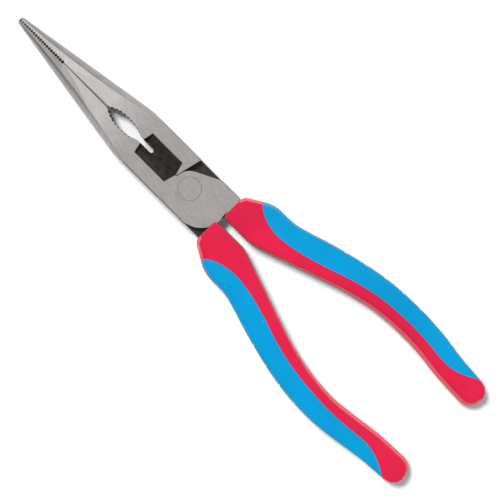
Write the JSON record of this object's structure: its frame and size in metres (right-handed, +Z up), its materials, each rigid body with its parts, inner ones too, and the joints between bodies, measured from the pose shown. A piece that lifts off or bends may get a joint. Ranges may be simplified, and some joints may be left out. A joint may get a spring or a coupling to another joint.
{
  "type": "needle nose pliers",
  "caption": "Long tapered jaws with fine teeth, a toothed oval, a side cutter and a flush riveted lap joint, on two-part moulded grips that open about the rivet.",
  "frame": {"origin": "centre of the rivet's lower face, which is flush with the joint's lower face", "axes": "+X from the rivet to the handles, so the nose tip is at -X; +Z up along the rivet; +Y towards the handle of lever_a"},
  "size_m": [0.2105, 0.0554, 0.0136],
  "materials": {
    "ground_steel": "ground along the tool, with black oxide left in the cutter relief and the lap faces",
    "rivet_steel": "ground flush with the joint",
    "sleeve_red": "satin moulded",
    "insert_blue": "soft satin rubber with shallow ribs on the back"
  },
  "bodies": {
    "lever_b_half": {"lever_b": "ground_steel", "grip_sleeve_b": "sleeve_red", "grip_insert_b": "insert_blue", "rivet": "rivet_steel"},
    "lever_a_half": {"lever_a": "ground_steel", "grip_sleeve_a": "sleeve_red", "grip_insert_a": "insert_blue"}
  },
  "joints": [
    {"name": "rivet_hinge", "type": "hinge", "parent": "lever_b_half", "child": "lever_a_half", "pos_m": [0, 0, 0.0052], "axis": [0, 0, 1], "range_deg": [0, 49]}
  ]
}
